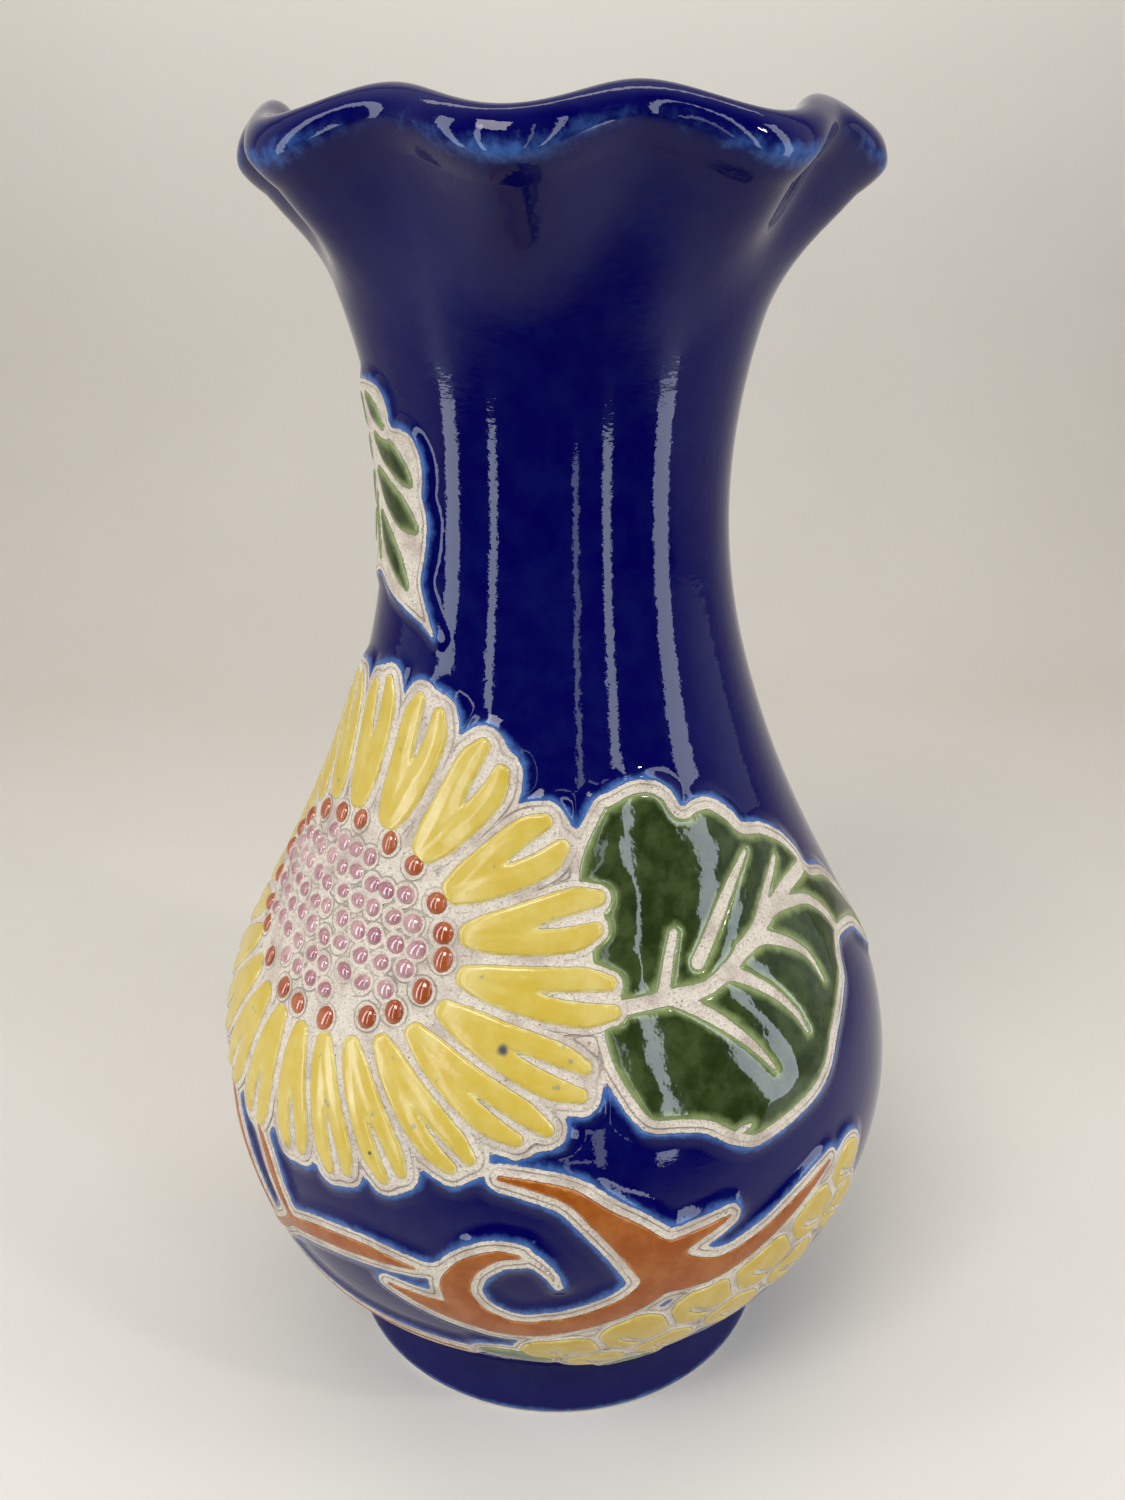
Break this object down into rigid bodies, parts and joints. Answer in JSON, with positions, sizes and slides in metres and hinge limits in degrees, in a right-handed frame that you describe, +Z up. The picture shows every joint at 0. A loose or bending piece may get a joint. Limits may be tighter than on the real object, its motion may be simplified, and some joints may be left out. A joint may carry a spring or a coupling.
{
  "type": "talavera pottery vase",
  "caption": "Cobalt-glazed bulbous pottery vase with a flared scalloped mouth and a carved relief sunflower, leaves, vine and fruit in coloured glazes.",
  "frame": {"origin": "centre of the foot ring's underside, on the surface the vase stands on", "axes": "+Z up along the vase's axis, -Y towards the side with the sunflower on the left and the broad leaf on the right, +X to the right seen from there"},
  "size_m": [0.1426, 0.1445, 0.25],
  "materials": {
    "cobalt_glaze": "gloss, deep cobalt blue",
    "yellow_glaze": "satin gloss",
    "green_glaze": "gloss, bottle green",
    "orange_glaze": "satin, orange brown",
    "ochre_glaze": "satin, ochre yellow",
    "bare_clay": "matte, sandy"
  },
  "bodies": {
    "root": {"foot_ring": "cobalt_glaze", "belly": "cobalt_glaze", "neck": "cobalt_glaze", "rim": "cobalt_glaze", "seed_head": "bare_clay", "petal_01": "yellow_glaze", "petal_02": "yellow_glaze", "petal_03": "yellow_glaze", "petal_04": "yellow_glaze", "petal_05": "yellow_glaze", "petal_06": "yellow_glaze", "petal_07": "yellow_glaze", "petal_08": "yellow_glaze", "petal_09": "yellow_glaze", "petal_10": "yellow_glaze", "petal_11": "yellow_glaze", "petal_12": "yellow_glaze", "petal_13": "yellow_glaze", "petal_14": "yellow_glaze", "petal_15": "yellow_glaze", "petal_16": "yellow_glaze", "petal_17": "yellow_glaze", "petal_18": "yellow_glaze", "petal_19": "yellow_glaze", "petal_20": "yellow_glaze", "petal_21": "yellow_glaze", "petal_22": "yellow_glaze", "petal_23": "yellow_glaze", "leaf_upper_right": "green_glaze", "leaf_upper_left": "green_glaze", "leaf_lower_right": "green_glaze", "leaf_lower_left": "green_glaze", "vine_trunk_right": "orange_glaze", "vine_trunk_left": "orange_glaze", "vine_scroll": "orange_glaze", "vine_hook": "orange_glaze", "vine_arm": "orange_glaze", "vine_stem": "orange_glaze", "fruit_right_1": "ochre_glaze", "fruit_right_2": "ochre_glaze", "fruit_right_3": "ochre_glaze", "fruit_right_4": "ochre_glaze", "fruit_right_5": "ochre_glaze", "fruit_right_6": "ochre_glaze", "fruit_left_1": "ochre_glaze", "fruit_left_2": "ochre_glaze", "fruit_left_3": "ochre_glaze", "fruit_left_4": "ochre_glaze", "fruit_left_5": "ochre_glaze", "fruit_left_6": "ochre_glaze", "neck_leaf_right": "green_glaze", "neck_leaf_left": "green_glaze"}
  },
  "joints": []
}
